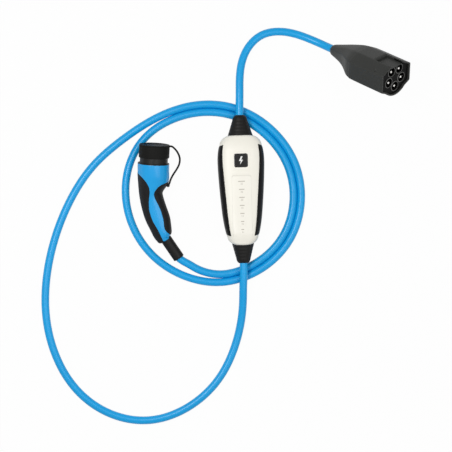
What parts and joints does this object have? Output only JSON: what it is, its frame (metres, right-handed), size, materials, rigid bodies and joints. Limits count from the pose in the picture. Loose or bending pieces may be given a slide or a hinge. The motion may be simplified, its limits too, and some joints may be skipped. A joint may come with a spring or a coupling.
{
  "type": "portable ev charger",
  "caption": "Portable car charger: white control box with black side grips, coiled blue lead to a pistol vehicle connector with tethered dust cap, short lead to a grey pin connector.",
  "frame": {"origin": "on the flat back of the control box, halfway between the ends of its two strain reliefs", "axes": "+X to the right seen from the front of the box, +Y along the box towards the supply lead, +Z out of the front of the box"},
  "size_m": [0.8226, 0.868, 0.1841],
  "materials": {
    "shell_white": "satin",
    "seal_rubber": "matte",
    "grip_rubber": "matte",
    "panel_film": "satin film",
    "badge_black": "satin",
    "screw_steel": "satin",
    "board_green": "satin",
    "relay_black": "matte",
    "sensor_grey": "matte",
    "light_clear": "clear",
    "gun_blue": "satin",
    "nose_black": "satin",
    "contact_metal": "silver plated, satin",
    "cap_rubber": "matte",
    "plug_grey": "satin",
    "insert_dark": "matte",
    "cable_blue": "satin"
  },
  "bodies": {
    "charger": {"front_shell": "shell_white", "rear_shell": "shell_white", "shell_seal": "seal_rubber", "left_grip": "grip_rubber", "right_grip": "grip_rubber", "scale_panel": "panel_film", "badge_tile": "badge_black", "upper_relief": "grip_rubber", "lower_relief": "grip_rubber", "housing_screws": "screw_steel", "main_board": "board_green", "relays": "relay_black", "current_sensor": "sensor_grey", "terminal_blocks": "sensor_grey", "light_board": "board_green", "light_row": "light_clear", "gun_upper_shell": "gun_blue", "gun_lower_shell": "gun_blue", "rear_grip": "grip_rubber", "front_grip": "grip_rubber", "gun_nose": "nose_black", "head_ring": "nose_black", "contact_carrier": "sensor_grey", "power_contacts": "contact_metal", "signal_contacts": "contact_metal", "cap_strap": "cap_rubber", "bend_relief": "grip_rubber", "gun_screws": "screw_steel", "plug_housing": "plug_grey", "plug_insert": "insert_dark", "plug_pins": "contact_metal", "supply_cable": "cable_blue", "charge_cable": "cable_blue"},
    "cap": {"dust_cap": "cap_rubber"}
  },
  "joints": [
    {"name": "cap_pull", "type": "slide", "parent": "charger", "child": "cap", "axis": [0.0747, 0.9849, 0.1564], "range_m": [0, 0.028], "deforming": ["cap_strap"]}
  ]
}
